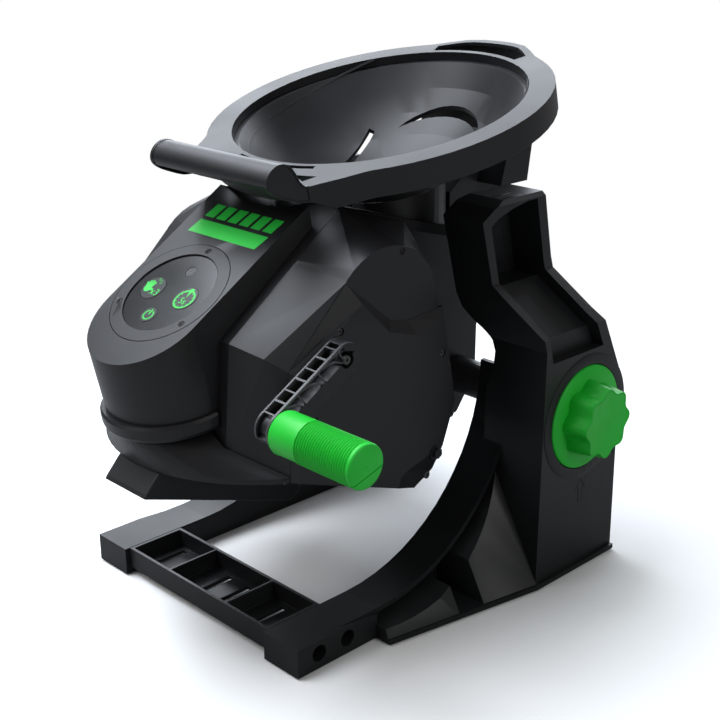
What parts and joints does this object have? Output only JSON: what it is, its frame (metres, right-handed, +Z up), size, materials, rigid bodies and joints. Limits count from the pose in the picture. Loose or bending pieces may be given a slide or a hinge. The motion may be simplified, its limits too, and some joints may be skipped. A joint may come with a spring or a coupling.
{
  "type": "soccer ball launcher",
  "caption": "Crank-wound soccer ball launcher: a tilting head with ball bowl, key panel and side crank on a low two-sided stand with a front accessory tray.",
  "frame": {"origin": "centre of the bounding box at the floor, under the stand", "axes": "+X towards the crank side, +Y from the front tray to the rear of the bowl, +Z up"},
  "size_m": [0.3582, 0.4044, 0.3957],
  "materials": {
    "right_side_frame": "fine matt moulded texture",
    "left_side_frame": "fine matt moulded texture",
    "front_tray": "fine matt moulded texture",
    "right_foot_pad": "dull",
    "left_foot_pad": "dull",
    "right_bushing": "plain",
    "left_bushing": "plain",
    "left_pivot_cap": "fine matt moulded texture",
    "main_case": "fine satin moulded surface",
    "right_side_case": "fine satin moulded surface",
    "left_side_case": "fine satin moulded surface",
    "right_side_cover": "fine satin moulded surface",
    "left_side_cover": "fine satin moulded surface",
    "cover_screw_1": "plain",
    "cover_screw_2": "plain",
    "cover_screw_3": "plain",
    "cover_screw_4": "plain",
    "cover_screw_5": "plain",
    "panel_glass": "smooth and dark",
    "bezel_ring": "fine matt moulded texture",
    "bezel_screw_top": "plain",
    "bezel_screw_left": "plain",
    "bezel_screw_right": "plain",
    "circuit_board": "plain",
    "microphone": "plain",
    "base_pan": "fine satin moulded surface",
    "battery_box": "fine matt moulded texture",
    "battery_door": "fine matt moulded texture",
    "batteries": "smooth wrap",
    "bowl": "fine satin moulded surface",
    "bowl_rim": "fine satin moulded surface",
    "front_handle": "fine satin moulded surface",
    "bowl_neck": "fine satin moulded surface",
    "rear_bracket": "fine satin moulded surface",
    "tilt_shaft": "smooth",
    "scale_ring": "fine matt moulded texture",
    "launch_spring_left": "plain",
    "launch_spring_right": "plain",
    "gear_plate": "plain",
    "solenoid": "wound and wrapped",
    "crank_arm": "fine matt moulded texture",
    "crank_pinion": "plain",
    "ratchet_wheel": "plain",
    "arm_screw": "plain",
    "grip_pin": "plain",
    "crank_grip": "satin moulded surface",
    "drive_gear": "plain",
    "drive_shaft": "plain",
    "kicker_arm": "plain",
    "kicker_pad": "dull",
    "latch_pin": "plain",
    "ratchet_pawl": "plain",
    "clamp_knob": "satin moulded surface",
    "clamp_bolt": "plain",
    "clap_key": "smooth, printed in green",
    "timer_key": "smooth, printed in green",
    "power_key": "smooth, printed in green"
  },
  "bodies": {
    "stand": {"right_side_frame": "right_side_frame", "left_side_frame": "left_side_frame", "front_tray": "front_tray", "right_foot_pad": "right_foot_pad", "left_foot_pad": "left_foot_pad", "right_bushing": "right_bushing", "left_bushing": "left_bushing", "left_pivot_cap": "left_pivot_cap"},
    "head": {"main_case": "main_case", "right_side_case": "right_side_case", "left_side_case": "left_side_case", "right_side_cover": "right_side_cover", "left_side_cover": "left_side_cover", "cover_screw_1": "cover_screw_1", "cover_screw_2": "cover_screw_2", "cover_screw_3": "cover_screw_3", "cover_screw_4": "cover_screw_4", "cover_screw_5": "cover_screw_5", "panel_glass": "panel_glass", "bezel_ring": "bezel_ring", "bezel_screw_top": "bezel_screw_top", "bezel_screw_left": "bezel_screw_left", "bezel_screw_right": "bezel_screw_right", "circuit_board": "circuit_board", "microphone": "microphone", "base_pan": "base_pan", "battery_box": "battery_box", "battery_door": "battery_door", "batteries": "batteries", "bowl": "bowl", "bowl_rim": "bowl_rim", "front_handle": "front_handle", "bowl_neck": "bowl_neck", "rear_bracket": "rear_bracket", "tilt_shaft": "tilt_shaft", "scale_ring": "scale_ring", "launch_spring_left": "launch_spring_left", "launch_spring_right": "launch_spring_right", "gear_plate": "gear_plate", "solenoid": "solenoid"},
    "crank": {"crank_arm": "crank_arm", "crank_pinion": "crank_pinion", "ratchet_wheel": "ratchet_wheel", "arm_screw": "arm_screw", "grip_pin": "grip_pin"},
    "grip": {"crank_grip": "crank_grip"},
    "drive": {"drive_gear": "drive_gear", "drive_shaft": "drive_shaft"},
    "kicker": {"kicker_arm": "kicker_arm", "kicker_pad": "kicker_pad"},
    "latch": {"latch_pin": "latch_pin"},
    "pawl": {"ratchet_pawl": "ratchet_pawl"},
    "knob": {"clamp_knob": "clamp_knob", "clamp_bolt": "clamp_bolt"},
    "clap_button": {"clap_key": "clap_key"},
    "timer_button": {"timer_key": "timer_key"},
    "power_button": {"power_key": "power_key"}
  },
  "joints": [
    {"name": "head_tilt", "type": "hinge", "parent": "stand", "child": "head", "pos_m": [-0.01894, 0.12656, 0.1312], "axis": [1, 0, 0], "range_deg": [-10, 10]},
    {"name": "drive_spin", "type": "hinge", "parent": "head", "child": "drive", "pos_m": [-0.01894, -0.03345, 0.2322], "axis": [1, 0, 0], "continuous": true},
    {"name": "crank_spin", "type": "hinge", "parent": "head", "child": "crank", "pos_m": [0.08806, -0.09294, 0.2242], "axis": [1, 0, 0], "continuous": true},
    {"name": "grip_spin", "type": "hinge", "parent": "crank", "child": "grip", "pos_m": [0.14106, -0.15044, 0.1912], "axis": [1, 0, 0], "continuous": true},
    {"name": "kicker_swing", "type": "hinge", "parent": "head", "child": "kicker", "pos_m": [-0.01894, -0.03345, 0.2322], "axis": [1, 0, 0], "range_deg": [0, 30]},
    {"name": "latch_slide", "type": "slide", "parent": "head", "child": "latch", "axis": [-1, 0, 0], "range_m": [0, 0.005], "stiffness_N_per_m": 200},
    {"name": "pawl_rock", "type": "hinge", "parent": "head", "child": "pawl", "pos_m": [0.06156, -0.11744, 0.2052], "axis": [1, 0, 0], "range_deg": [-12, 0], "stiffness_Nm_per_rad": 0.02},
    {"name": "knob_turn", "type": "hinge", "parent": "stand", "child": "knob", "pos_m": [0.13106, 0.12656, 0.1312], "axis": [1, 0, 0], "continuous": true},
    {"name": "clap_press", "type": "slide", "parent": "head", "child": "clap_button", "axis": [0, 0.5299, -0.848], "range_m": [0, 0.001], "stiffness_N_per_m": 400},
    {"name": "timer_press", "type": "slide", "parent": "head", "child": "timer_button", "axis": [0, 0.5299, -0.848], "range_m": [0, 0.001], "stiffness_N_per_m": 400},
    {"name": "power_press", "type": "slide", "parent": "head", "child": "power_button", "axis": [0, 0.5299, -0.848], "range_m": [0, 0.001], "stiffness_N_per_m": 400}
  ],
  "couplings": [
    {"joint": "crank_spin", "follows": "drive_spin", "ratio": -2.75}
  ]
}
